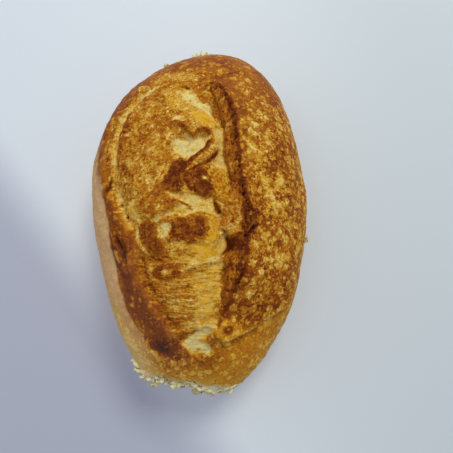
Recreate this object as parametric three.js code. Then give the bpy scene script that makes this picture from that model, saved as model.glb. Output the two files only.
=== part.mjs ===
// A crusty oval bread roll with one long slash, baked in one piece.
// Millimetres. +X across the roll, +Y along its length, +Z up. It stands on its flat underside at Z = 0.

import * as THREE from 'three';
import { mergeVertices } from 'three/addons/utils/BufferGeometryUtils.js';

// Driving dimensions
const ROLL_WIDTH = 106;
const ROLL_LENGTH = 167.5;
const ROLL_HEIGHT = 58;
const WIDEST_HEIGHT = 24; // height of the fattest section above the table
const BASE_SHARE = 0.72; // the flat underside as a share of the fattest section
const DOME_FULLNESS = 0.92; // below 1 the dome's shoulders are fuller than an ellipse's
const UNDERSIDE_FULLNESS = 0.9;
const CROWN_HEIGHT = ROLL_HEIGHT - 0.6; // the lifted edge stands a little above the crown

// Of the lower half of the sphere of directions, this much is the rounded side and the rest the flat base
const UNDER_SWEEP = 0.7 * Math.PI / 2;

// The opened slash: the lifted edge of crust and the hollow beside it
const EAR_LIFT = 3.2;
const EAR_HALF_WIDTH = 7;
const HOLLOW_DEPTH = 2.2;
const HOLLOW_OFFSET = 13; // from the lifted edge to the middle of the hollow
const HOLLOW_HALF_WIDTH = 8;

// Facets around the roll and from its crown to its base
const SEGMENTS_AROUND = 88;
const SEGMENTS_DOWN = 34;

// The fattest section, seen from above, in shares of half the width and half the length.
// It is narrower at the front, where the roll leans to one side.
const OUTLINE = [
  [1.0, 0.0], [0.95, 0.31], [0.77, 0.72], [0.45, 0.96], [0.04, 1.0], [-0.42, 0.89],
  [-0.81, 0.65], [-1.0, 0.26], [-0.98, -0.06], [-0.85, -0.39], [-0.64, -0.74],
  [-0.38, -0.94], [0.04, -1.0], [0.38, -0.97], [0.66, -0.76], [0.87, -0.49],
];

// The lifted edge of the slash, seen from above, from its back end to its front end
const EAR_LINE = [[8, 58], [16.6, 34], [21.6, 10], [26.5, -8], [21.3, -28], [10.2, -54]];

function outlineRadius() {
  const points = OUTLINE.map(([across, along]) => new THREE.Vector3(
    across * ROLL_WIDTH / 2, along * ROLL_LENGTH / 2, 0));
  const curve = new THREE.CatmullRomCurve3(points, true, 'catmullrom', 0.5);
  const samples = curve.getPoints(720)
    .map((point) => ({ angle: Math.atan2(point.y, point.x), radius: Math.hypot(point.x, point.y) }))
    .sort((a, b) => a.angle - b.angle);
  return (angle) => {
    let after = samples.findIndex((sample) => sample.angle >= angle);
    if (after < 0) after = 0;
    const before = (after + samples.length - 1) % samples.length;
    const [low, high] = [samples[before], samples[after]];
    const span = THREE.MathUtils.euclideanModulo(high.angle - low.angle, 2 * Math.PI);
    const step = THREE.MathUtils.euclideanModulo(angle - low.angle, 2 * Math.PI);
    return THREE.MathUtils.lerp(low.radius, high.radius, span > 0 ? step / span : 0);
  };
}

function earSamples() {
  const points = EAR_LINE.map(([x, y]) => new THREE.Vector2(x, y));
  return new THREE.SplineCurve(points).getPoints(160);
}

// How far the crown is raised or sunk at a place seen from above
function slashRelief(x, y, samples) {
  let nearest = Infinity;
  let side = 1;
  let share = 0;
  samples.forEach((sample, index) => {
    const distance = Math.hypot(x - sample.x, y - sample.y);
    if (distance < nearest) {
      nearest = distance;
      side = Math.sign(x - sample.x) || 1;
      share = index / (samples.length - 1);
    }
  });
  const fade = Math.sin(Math.PI * THREE.MathUtils.clamp(share, 0, 1)) ** 0.5;
  const ear = EAR_LIFT * Math.exp(-((nearest / EAR_HALF_WIDTH) ** 2));
  const fromHollow = (side * nearest + HOLLOW_OFFSET) / HOLLOW_HALF_WIDTH;
  const hollow = HOLLOW_DEPTH * Math.exp(-(fromHollow ** 2));
  return fade * (ear - hollow);
}

// A point of the roll's skin. turn goes around, and fall goes from the crown (0) to the base (1).
function skinPoint(direction, radiusAt, ear) {
  const turn = Math.atan2(direction.y, direction.x);
  const fall = Math.acos(THREE.MathUtils.clamp(direction.z, -1, 1));
  const upper = fall <= Math.PI / 2;
  const sink = upper ? fall : fall - Math.PI / 2;
  const share = upper
    ? Math.sin(sink) ** DOME_FULLNESS
    : Math.cos(Math.min(sink / UNDER_SWEEP, 1) * Math.PI / 2) ** UNDERSIDE_FULLNESS;
  const reach = upper ? share : BASE_SHARE + (1 - BASE_SHARE) * share;
  const flat = !upper && sink >= UNDER_SWEEP;
  const inward = flat ? (Math.PI / 2 - sink) / (Math.PI / 2 - UNDER_SWEEP) : 1;
  const spread = radiusAt(turn) * reach * inward;
  const x = spread * Math.cos(turn);
  const y = spread * Math.sin(turn);
  if (!upper) {
    const rise = 1 - Math.sin(Math.min(sink / UNDER_SWEEP, 1) * Math.PI / 2);
    return new THREE.Vector3(x, y, flat ? 0 : WIDEST_HEIGHT * rise);
  }
  const dome = Math.cos(sink);
  const relief = slashRelief(x, y, ear) * Math.min(1, 3 * dome);
  return new THREE.Vector3(x, y, WIDEST_HEIGHT + (CROWN_HEIGHT - WIDEST_HEIGHT) * dome + relief);
}

function rollGeometry() {
  const sphere = new THREE.SphereGeometry(1, SEGMENTS_AROUND, SEGMENTS_DOWN);
  sphere.rotateX(Math.PI / 2);
  sphere.deleteAttribute('normal');
  sphere.deleteAttribute('uv');
  const geometry = mergeVertices(sphere, 1e-5);
  const radiusAt = outlineRadius();
  const ear = earSamples();
  const positions = geometry.getAttribute('position');
  const direction = new THREE.Vector3();
  for (let index = 0; index < positions.count; index += 1) {
    direction.fromBufferAttribute(positions, index).normalize();
    const point = skinPoint(direction, radiusAt, ear);
    positions.setXYZ(index, point.x, point.y, point.z);
  }
  geometry.computeBoundingBox();
  const { min, max } = geometry.boundingBox;
  geometry.translate(-(min.x + max.x) / 2, -(min.y + max.y) / 2, -min.z);
  geometry.computeVertexNormals();
  return geometry;
}

const crust = new THREE.MeshStandardMaterial({ color: 0xb9802f, roughness: 0.7, metalness: 0 });

const breadRoll = new THREE.Mesh(rollGeometry(), crust);
breadRoll.name = 'bread_roll';

const roll = new THREE.Group();
roll.add(breadRoll);

export default roll;
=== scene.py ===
"""A crusty oval bread roll with one opened slash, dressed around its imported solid.

Sizes inside the classes are in millimetres in the roll's own frame: +X across it, +Y along it, +Z up,
with the middle of its underside at the origin. They become metres when a mesh is finished.
"""

import logging
import math
from dataclasses import dataclass, field
from enum import Enum

import bmesh
import bpy
import numpy as np
from mathutils import Matrix, Vector, noise

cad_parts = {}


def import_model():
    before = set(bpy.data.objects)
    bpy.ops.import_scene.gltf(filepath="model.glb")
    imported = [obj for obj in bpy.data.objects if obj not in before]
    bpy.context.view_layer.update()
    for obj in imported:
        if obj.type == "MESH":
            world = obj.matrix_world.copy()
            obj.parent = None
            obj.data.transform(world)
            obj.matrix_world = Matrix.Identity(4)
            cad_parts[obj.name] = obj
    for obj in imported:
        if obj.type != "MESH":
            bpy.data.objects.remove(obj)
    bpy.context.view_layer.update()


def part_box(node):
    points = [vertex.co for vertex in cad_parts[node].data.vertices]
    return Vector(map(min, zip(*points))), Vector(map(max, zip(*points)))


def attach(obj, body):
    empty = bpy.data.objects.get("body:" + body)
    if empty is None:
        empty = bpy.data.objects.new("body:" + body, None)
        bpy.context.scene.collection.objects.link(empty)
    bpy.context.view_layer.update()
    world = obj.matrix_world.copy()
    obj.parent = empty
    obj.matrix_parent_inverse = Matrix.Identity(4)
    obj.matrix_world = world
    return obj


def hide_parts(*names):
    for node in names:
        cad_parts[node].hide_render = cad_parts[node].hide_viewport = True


LOG = logging.getLogger("bread_roll")

METRES = 0.001
ROLL_NODE = "bread_roll"
BODY = "root"
LUMP_ALLOWANCE = 1.5  # how far lumps and the lifted edge stand above the plain body
TINY = 1e-9

Points = tuple[tuple[float, float], ...]
Spot = tuple[float, float, float]
Colour = tuple[float, float, float]


class Tone(Enum):
    """What the skin carries from point to point, each kept as an attribute of the mesh."""

    BAKE = "bake"  # 0 is pale crumb, 1 is char
    GILD = "gild"  # egg-yellow warmth
    DUST = "dust"  # pale, matt, floury skin
    CRUMB = "crumb"  # torn, open crumb as against closed crust
    FLECK = "fleck"  # how thickly pale blisters stand
    STRAND = "strand"  # stretched fibres across the open slash
    SHRED = "shred"  # torn fibres along the lifted edge


# torn crumb has nothing of the closed crust's finish
BARED: dict[Tone, float] = {Tone.CRUMB: 1.0, Tone.GILD: 0.0, Tone.DUST: 0.0, Tone.FLECK: 0.0}


# ---- lines and noise


class Route:
    """A smooth line or closed outline through a few given points, seen from above."""

    def __init__(self, points: Points, closed: bool = False, steps: int = 6) -> None:
        """Samples the line.

        Args:
            points: the points it passes through, in millimetres.
            closed: whether it comes back to its first point.
            steps: straight pieces between two points.
        """
        self.points = self._smooth(np.array(points, dtype=float), closed, steps)
        ahead = np.roll(self.points, -1, axis=0)
        self.starts = self.points if closed else self.points[:-1]
        self.spans = (ahead - self.points) if closed else (ahead - self.points)[:-1]
        self.lengths = np.maximum(np.hypot(self.spans[:, 0], self.spans[:, 1]), TINY)
        self.before = np.concatenate(([0.0], np.cumsum(self.lengths)[:-1]))
        self.length = float(self.lengths.sum())

    @staticmethod
    def _smooth(points: np.ndarray, closed: bool, steps: int) -> np.ndarray:
        """Passes a Catmull-Rom curve through the points.

        Args:
            points: the points, one a row.
            closed: whether the curve closes.
            steps: samples for each stretch.

        Returns:
            The samples, one a row.
        """
        if closed:
            padded = np.concatenate((points[-1:], points, points[:2]))
        else:
            before, after = 2 * points[:1] - points[1:2], 2 * points[-1:] - points[-2:-1]
            padded = np.concatenate((before, points, after))
        share = (np.arange(steps) / steps)[:, None]
        pieces = []
        for a, b, c, d in zip(padded, padded[1:], padded[2:], padded[3:]):
            bend = (2 * a - 5 * b + 4 * c - d) * share**2 + (3 * b - a - 3 * c + d) * share**3
            pieces.append(0.5 * (2 * b + (c - a) * share + bend))
        if not closed:
            pieces.append(points[-1:])
        return np.concatenate(pieces)

    def measure(self, places: np.ndarray) -> tuple[np.ndarray, np.ndarray, np.ndarray]:
        """Finds where places stand against the line.

        Args:
            places: points seen from above, one a row.

        Returns:
            The distance to the line, the share of its length at the nearest point, and the side: 1 to
            the right of its run, -1 to the left.
        """
        nearest = np.full(len(places), np.inf)
        share = np.zeros(len(places))
        side = np.ones(len(places))
        for start, span, length, before in zip(self.starts, self.spans, self.lengths, self.before):
            offset = places - start
            along = np.clip(offset @ span / length**2, 0.0, 1.0)
            gap = offset - along[:, None] * span
            distance = np.hypot(gap[:, 0], gap[:, 1])
            closer = distance < nearest
            nearest = np.where(closer, distance, nearest)
            share = np.where(closer, (before + along * length) / self.length, share)
            turn = span[1] * offset[:, 0] - span[0] * offset[:, 1]
            side = np.where(closer, np.where(turn >= 0, 1.0, -1.0), side)
        return nearest, share, side

    def depth_inside(self, places: np.ndarray) -> np.ndarray:
        """Measures how far places are inside a closed outline.

        Args:
            places: points seen from above, one a row.

        Returns:
            The distance to the outline, negative outside.
        """
        distance = self.measure(places)[0]
        crossings = np.zeros(len(places), dtype=int)
        for start, span in zip(self.starts, self.spans):
            low, high = sorted((start[1], start[1] + span[1]))
            level = (places[:, 1] > low) & (places[:, 1] <= high)
            reach = start[0] + span[0] * (places[:, 1] - start[1]) / (span[1] if span[1] else 1.0)
            crossings += level & (reach > places[:, 0])
        return np.where(crossings % 2 == 1, distance, -distance)


def ease(low: float, high: float, values: np.ndarray) -> np.ndarray:
    """Rises smoothly from 0 at low to 1 at high, or falls where low is above high."""
    share = np.clip((values - low) / (high - low), 0.0, 1.0)
    return share * share * (3.0 - 2.0 * share)


def bell(distance: np.ndarray, reach: float | np.ndarray, power: float = 2) -> np.ndarray:
    """Falls from 1 at no distance, through about a third at the reach, towards nothing."""
    return np.exp(-((distance / reach) ** power))


# ---- plain body


@dataclass(frozen=True)
class RollForm:
    """The roll's plain body: its outline from above and the profile of its side."""

    width: float
    length: float
    height: float
    widest_height: float = 24.0
    base_share: float = 0.72
    shoulder: float = 0.92
    under: float = 0.9
    ring_share: float = 0.86
    outline_steps: int = 24
    profile_steps: int = 80
    crowding: float = 0.5  # how much closer the points stand low on the side than on the crown
    outline: Points = (
        (1.0, 0.0), (0.95, 0.31), (0.77, 0.72), (0.45, 0.96), (0.04, 1.0), (-0.42, 0.89),
        (-0.81, 0.65), (-1.0, 0.26), (-0.98, -0.06), (-0.85, -0.39), (-0.64, -0.74),
        (-0.38, -0.94), (0.04, -1.0), (0.38, -0.97), (0.66, -0.76), (0.87, -0.49),
    )

    def edge(self) -> tuple[np.ndarray, np.ndarray]:
        """Works out the fattest section.

        Returns:
            Its angles in rising order and its radii there, over three turns.
        """
        ring = Route(self.outline, closed=True, steps=self.outline_steps).points
        ring = ring - (ring.min(axis=0) + ring.max(axis=0)) / 2
        ring = ring / ring.max(axis=0) * np.array((self.width / 2, self.length / 2))
        angles = np.arctan2(ring[:, 1], ring[:, 0])
        order = np.argsort(angles)
        angles, radii = angles[order], np.hypot(ring[:, 0], ring[:, 1])[order]
        turns = (-2 * math.pi, 0.0, 2 * math.pi)
        return np.concatenate([angles + turn for turn in turns]), np.tile(radii, len(turns))

    def profile(self) -> tuple[np.ndarray, np.ndarray, np.ndarray]:
        """Gives the side's profile from the crown to the underside.

        Returns:
            The share of its length, the share of the fattest radius, and the height.
        """
        sink = np.linspace(0.0, math.pi / 2, self.profile_steps)
        share = np.sin(sink) ** self.shoulder
        height = self.widest_height + (self.height - self.widest_height) * np.cos(sink)
        low = sink[1:]
        lower = self.base_share + (1 - self.base_share) * np.cos(low) ** self.under
        share = np.concatenate((share, lower, [self.base_share * self.ring_share]))
        height = np.concatenate((height, self.widest_height * (1 - np.sin(low)), [0.0]))
        radius = (self.width + self.length) / 4
        steps = np.hypot(np.diff(share) * radius, np.diff(height))
        arc = np.concatenate(([0.0], np.cumsum(steps)))
        return arc / arc[-1], share, height

    def place(self, corners: np.ndarray) -> tuple[np.ndarray, np.ndarray]:
        """Lays the points of a cube onto the body.

        Args:
            corners: points on a cube from -1 to 1 whose lowest level is the edge of the underside.

        Returns:
            The points on the body, and how far each is down the profile, from 0 to 1.
        """
        ways = np.tan(corners * math.pi / 4)
        flat = np.hypot(ways[:, 0], ways[:, 1])
        turn = np.arctan2(ways[:, 1], ways[:, 0])
        steepest = np.maximum(np.abs(np.cos(turn)), np.abs(np.sin(turn)))
        lowest = math.pi - np.arctan(1.0 / steepest)
        fall = np.clip(np.arctan2(flat, ways[:, 2]) / lowest, 0.0, 1.0)
        fall = fall * (1.0 + self.crowding - self.crowding * fall)
        arc, share, height = self.profile()
        radius = np.interp(turn, *self.edge()) * np.interp(fall, arc, share)
        rise = np.interp(fall, arc, height)
        return np.stack((radius * np.cos(turn), radius * np.sin(turn), rise), axis=1), fall


# ---- marks on the skin


@dataclass(frozen=True)
class Patch:
    """An island on the skin with a soft edge."""

    outline: Points
    bake: float
    lift: float = 0.0
    soft: float = 1.0
    strength: float = 1.0
    gild: float = 0.0
    fray: float = 0.7


@dataclass(frozen=True)
class Seam:
    """A narrow ridge, groove or stripe along a line."""

    route: Points
    reach: float
    bake: float
    lift: float = 0.0
    strength: float = 1.0
    gild: float = 0.0
    fray: float = 0.3


@dataclass(frozen=True)
class Pit:
    """A small round hole, or a lump where its depth is below zero."""

    spot: tuple[float, float]
    radius: float
    depth: float
    bake: float
    strength: float = 1.0


EAR_CREST: Points = (
    (1, 50), (5.5, 53), (8.6, 52), (11.6, 48.5), (13.8, 43.5), (16, 37), (17.4, 30), (17.8, 22),
    (18.8, 14), (20, 6), (20.6, -1), (22.4, -5.5), (24.2, -8.8), (24.5, -12.5), (23.2, -16), (20.6, -19.5),
    (20.2, -26), (19.8, -32.5), (17.8, -37.5), (15.2, -43), (13, -48.5), (10.6, -54),
)
EAR_EDGE: Points = (
    (-2, 50.5), (0.5, 46.8), (3, 47.9), (5.9, 50), (8.7, 47), (10.6, 41), (12.6, 34), (13.9, 27.5),
    (13.4, 22), (14, 16), (16, 9.5), (16.9, 3.5), (15.4, -2), (13.5, -5.8), (9.8, -3.6), (12, -7.1),
    (12.8, -10.5), (11.3, -14.6), (13.6, -15.8), (16.2, -19.5), (17, -23), (13.6, -28), (14.6, -33),
    (13.2, -37.4), (11.8, -41.5), (12, -46), (10, -52),
)
BLOOM_RIM: Points = (
    (-20, 60), (-31, 51), (-39, 40), (-42, 27), (-42, 15), (-39.5, 4), (-36, -2), (-32, -9.5), (-27, -15),
    (-24.5, -19), (-24, -32), (-20.5, -41), (-16, -48.5), (-11, -54.5), (-6, -60),
)
BLOOM_OUTLINE: Points = (
    (4, 60), (-8, 63), (-20, 59), (-31, 49), (-38.5, 38), (-41, 26), (-40.5, 14), (-38, 4), (-34.5, -3),
    (-30, -10), (-25, -17), (-23, -24), (-23.5, -33), (-19.5, -41), (-11, -53.5), (-5, -61), (1.5, -66.3),
    (6.8, -65), (6.5, -60), (10, -54), (12, -48), (13.5, -38), (16, -26), (18, -12), (17.5, 0), (15, 14),
    (13, 30), (9.5, 46),
)

PATCHES: tuple[Patch, ...] = (
    # creamy dough along the back and the stretched golden skin before it
    Patch(((-21, 58), (-16, 63), (-6, 63), (1, 58), (-3, 54), (-11, 56.5), (-17, 56)), 0.38, soft=2.5),
    Patch(((-13.5, 47.5), (-7, 47.5), (-2.5, 44.5), (1.5, 38.5), (-1, 36.5), (-6.5, 37.5), (-10.5, 38.5)),
          0.32, soft=3, gild=0.4),
    Patch(((-4, 48.5), (0.5, 46), (5, 43), (9, 37), (11, 31), (8, 31), (3, 37), (-2, 41), (-6, 45)), 0.16,
          -0.6, 2),
    Patch(((-1.5, 34.5), (2, 37.2), (5.5, 36.5), (9, 32.8), (8, 29.5), (3, 30.5)), 0.22, soft=2.2, gild=1),
    # painted shade: the next three sunk patches beside the lifted edge are darkened as shadowed pockets
    Patch(((6.5, 43.5), (8.7, 43.6), (10.3, 38.6), (11, 34.6), (9.5, 32.4), (7.8, 36), (6.8, 40)), 0.5, -2,
          1.4),
    Patch(((1, 45.2), (3.6, 46.7), (5.5, 44.7), (4.7, 42.4), (2.2, 42.4)), 0.55, -1.2, 1.4),
    Patch(((10.3, 31.4), (12.5, 32.6), (13, 30.5), (11.2, 29.7)), 0.5, -0.9, 1),
    # the pale strip and the hollow under the hooked fold
    Patch(((8.5, 29), (12.5, 28.5), (13, 22), (13, 14), (14.5, 9.5), (9, 9.5), (9.5, 17), (8, 24)), 0.18,
          -0.8, 1.6, gild=0.3),
    Patch(((-8, 24.5), (-1, 23.8), (3.5, 25), (5.5, 23), (4, 19), (-0.5, 15), (-4, 14.5), (-9, 18.5)),
          0.15, -1.9, 1.6),
    Patch(((2.5, 25), (5, 24.5), (5.5, 21.5), (3, 21.5)), 0.3, -0.5, 1.2),
    # brown ridge inside the left groove
    Patch(((-26.5, 39.5), (-24, 35), (-26, 31.5), (-28, 27.5), (-30, 24.5), (-30.5, 20), (-32.5, 22),
          (-31.6, 27.3), (-30.1, 31.3), (-28.2, 36.5)), 0.56, 0.7, 1.8),
    Patch(((-24.5, 28), (-22, 30.5), (-17, 29.5), (-18.5, 27), (-22, 26.5)), 0.66, 0.3, 1.6),
    Patch(((-15.7, 45.5), (-14.1, 40.1), (-12.4, 35), (-9.5, 36.3), (-12.2, 41), (-13.5, 45)), 0.56, 0.2,
          1.6),
    Patch(((-16, 27), (-13.8, 33.2), (-9.3, 33.3), (-5, 31.8), (-3.3, 32.7), (-1.1, 30.2), (-0.5, 26.5),
          (-2.5, 24.3), (-5.7, 26.6), (-10.1, 28.3), (-13.2, 26.4)), 0.54, 0.7, 2.2),
    Patch(((-17, 14), (-12.5, 15.3), (-9, 15.3), (-4.8, 13.5), (-8, 10.8), (-12.4, 11.3)), 0.52, 0.4, 2,
          gild=0.4),
    Patch(((-35, 42), (-30, 45), (-28, 41), (-31.5, 38)), 0.55, 0.3, 2),
    # the band of old crust outside the left groove
    Patch(((-33.8, 44), (-30, 46), (-36.5, 36.5), (-38.9, 31.1), (-39.4, 24.7), (-38, 12.2), (-36.6, 4.2),
          (-34.2, -4.6), (-30.5, -13.2), (-26.2, -19.5), (-34, -17.9), (-37.4, -9.4), (-39.5, 1.5),
          (-41.7, 16), (-44.8, 30.8), (-41, 40)), 0.58, 0.3, 1.4, 0.9),
    # islands of early crust on the opened dough
    Patch(((-8, 12.5), (-4, 14), (-1.5, 11), (-4, 7), (-3.5, 2), (-5.5, -0.5), (-9, 0), (-15, -1),
          (-15, 2.5), (-12, 5.5), (-9.5, 9.5)), 0.64, 1.2, 1.9),
    Patch(((-8.5, 11), (-4.5, 13), (-1.8, 10.5), (-4.4, 6), (-4.8, 1.5), (-8.5, 1.5), (-11.5, 2.5),
          (-10, 6.5)), 0.86, 0.1, 2.6),
    Patch(((-2, 9.5), (2.5, 11.5), (8, 10.8), (13, 9.8), (16, 7), (16.5, -1), (16, -5), (12.5, -4.5),
          (9, -2.3), (4.5, -2.3), (1.5, -1), (-2, 2), (-3.8, 5)), 0.5, 1.3, 1.6, gild=0.8),
    Patch(((-4, 5), (-1, 8.8), (4.5, 9.3), (7, 5.5), (8.5, 0.5), (6, -2.5), (2, -2), (-1.8, 1)), 0.86, 0.2,
          3.2),
    Patch(((-23.5, -5.5), (-20, -3), (-16, -1), (-12.5, 1), (-9.5, -1.5), (-4, -5), (-7.5, -7.5),
          (-11, -9.5), (-15.5, -11.5), (-19.5, -10.5)), 0.57, 1, 2.2),
    Patch(((-28, -4), (-23, -4), (-20.5, -8), (-15.5, -12), (-22, -13.5), (-28.5, -9.5)), 0.36, 0.4, 2.4,
          gild=0.5),
    Patch(((-9, -12.5), (-5, -10.5), (0.5, -9.5), (6, -9), (9.5, -10.5), (9.6, -14), (8.5, -16.5),
          (9.3, -19.5), (6.5, -22.2), (3, -21.5), (-1.5, -21.6), (-5, -20.5), (-11, -20), (-9.5, -17),
          (-7, -15.5)), 0.5, 1.2, 1.9, gild=0.7),
    Patch(((-8.5, -14.5), (-4.5, -10.8), (1, -10.5), (5.5, -12), (5.5, -17), (3, -20.6), (-4, -20),
          (-9, -18.5)), 0.78, 0.1, 3),
    Patch(((-22.8, -17), (-23, -13.5), (-15.5, -12.3), (-14.5, -16.1), (-11.8, -20.8), (-10.2, -25.2),
          (-14.4, -26.3), (-18.8, -23.2), (-21.2, -20.3)), 0.75, 0.7, 3.4),
    Patch(((6.6, -10.9), (11.4, -11.6), (11.8, -20), (6, -25), (-1.5, -24.3), (-0.5, -22.2), (6.4, -19.5)),
          0.27, soft=1.8, gild=1),
    # pale dough between the islands, with darkened pockets beside the lifted edge that are painted shade
    Patch(((-12, -0.5), (-5.5, -1.2), (0, -1.8), (5, -3.2), (9.5, -3.6), (12, -8.5), (10.5, -10.5),
          (4, -9.2), (0.5, -9.8), (-4, -11), (-9, -11.5), (-12.5, -11), (-8, -7.5), (-4.5, -5),
          (-9, -2.8)), 0.18, -0.8, 1.4, gild=0.25),
    Patch(((-14, -17.6), (-12.5, -13.4), (-8.5, -13.6), (-9.8, -17.9), (-12, -19.3)), 0.2, -0.6, 1.6),
    # painted shade: a shadowed pocket beside the lifted edge
    Patch(((8.7, -3.4), (10.9, -5.4), (12.2, -7.5), (10.7, -9.4), (8.6, -7.2)), 0.62, -2, 1.3),
    Patch(((10.3, -18), (14.6, -18), (16.5, -20.5), (16.6, -23.5), (13, -28), (8.5, -26), (9, -21)), 0.22,
          -1, 1.5, gild=0.55),
    # painted shade: a shadowed pocket beside the lifted edge
    Patch(((14.2, -18), (16.3, -18.8), (17.4, -21.4), (16, -25.6), (13.6, -27), (12.8, -25),
          (14.6, -22.2)), 0.64, -2, 1.3),
    Patch(((-3, -23.3), (4, -22), (10, -22), (11, -28.5), (2, -28.5), (-4, -26.5)), 0.24, soft=2.4,
          gild=1),
    Patch(((3, -29), (11.5, -29), (12, -38), (10.5, -44), (10.5, -52), (7, -54), (2, -53), (2, -42)), 0.31,
          -0.5, 4, gild=0.65),
    # painted shade: a shadowed pocket beside the lifted edge
    Patch(((12, -32), (14.4, -31.5), (14.9, -33.4), (13.6, -36.2), (12.6, -38), (11.4, -36.6)), 0.5, -1.4,
          1.2),
    # stretched skin and folds of the front half
    Patch(((-8.5, -22.8), (-3, -21.6), (1.3, -23.2), (1.3, -26.9), (-2, -26.8), (-4.5, -25), (-8, -25.2)),
          0.5, 0.3, 1.8, gild=0.5),
    Patch(((-16.5, -32.8), (-13.9, -30.2), (-10.5, -29.8), (-7, -30.4), (-4.2, -33.2), (-7.6, -35),
          (-12.1, -35.9), (-15, -34.8)), 0.7, 0.6, 1.2),
    Patch(((-13, -33), (-10.8, -31.6), (-8.5, -32), (-8, -33.2), (-11, -34.3)), 0.28, -0.5, 1),
    Patch(((-10.5, -39.4), (-7.6, -39.8), (-4.6, -42), (-5.6, -44.5), (-8.6, -43.6), (-11, -41.6)), 0.58,
          0.4, 1.8),
    Patch(((-13, -37), (-3, -36), (0, -44), (-3, -52), (-9, -51), (-15, -43)), 0.46, 0, 4),
    # the scorched left shoulder and the front left corner
    Patch(((-27.5, -36), (-20.8, -41), (-13.2, -50), (-9, -56), (-12.5, -59), (-19, -56), (-26, -50),
          (-30.5, -41)), 0.76, soft=5, fray=0.9),
    Patch(((-36, -14.5), (-30.9, -15.7), (-26.2, -19.5), (-24.2, -24.5), (-23.8, -31.7), (-25.5, -37.5),
          (-28.5, -37.5), (-31.5, -32.5), (-34.6, -26.8), (-36.6, -20.5)), 0.8, 0.4, 2),
    Patch(((-34.3, -22.8), (-31.6, -24.6), (-29.8, -28), (-31.6, -28.8), (-33.8, -26)), 0.4, 0.3, 1.2),
    Patch(((-19, -60.3), (-15.5, -58), (-11, -58.6), (-6, -60.2), (-1, -64), (-3, -67.6), (-7.8, -68.4),
          (-12.5, -67), (-17.4, -64.3)), 0.82, 0, 2.8),
    Patch(((-16.4, -61.4), (-12, -60.6), (-8.7, -63.5), (-10.5, -66), (-14.5, -64.5)), 1, 0, 2.6),
    Patch(((-10, -61.2), (-6, -61.7), (-2, -64.3), (-2.6, -66.9), (-7.2, -67), (-9.7, -64.9)), 0.78, 0, 2),
    Patch(((-39.5, 1.1), (-35.1, 1.4), (-31.1, -7.8), (-24.7, -15.6), (-25.4, -21.7), (-36.2, -20.9),
          (-37.6, -10.1)), 0.68, 0, 2.4, 0.9),
    # char along the lifted edge
    Patch(((19.6, -7.8), (22, -6), (24.6, -7.6), (25.8, -10.6), (25, -14), (22.4, -17), (20.3, -17.6),
          (18.9, -14.5), (19.8, -10.9)), 0.93, 0.3, 1.6),
    Patch(((17, -17.5), (20.3, -17), (21.6, -21.6), (20.9, -26.4), (19.4, -30), (17.3, -27.6),
          (16.6, -24)), 0.84, 0, 2),
    # the front window of pale crumb and the lumps beside it
    Patch(((-5, -61), (1, -56.8), (5.2, -54.9), (8.2, -56.3), (6.2, -60.4), (7.2, -64.7), (1.5, -66.4),
          (-2.2, -64.4)), 0.09, -1.5, 1.5),
    Patch(((2.6, -59.7), (5.9, -58), (7, -61.1), (4.2, -62.3)), 0.26, 0.3, 1.5, gild=0.9),
    Patch(((9.7, -55.6), (13.5, -52.2), (18.8, -53.2), (20.6, -57.3), (15.6, -60), (10.4, -59.2)), 0.44,
          1.6, 1.8, gild=0.7),
    Patch(((12.5, -54.5), (15.5, -54), (16, -56.5), (13, -57)), 0.76, -0.4, 1.6),
    Patch(((6, -58.3), (9.5, -57), (10.7, -60.2), (8.4, -62.4), (5.9, -60.8)), 0.6, 0.6, 1.3),
    Patch(((10.2, -59.8), (14.2, -59.3), (15.8, -61.7), (12.1, -63.4)), 0.8, 0.2, 1.8),
)

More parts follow.
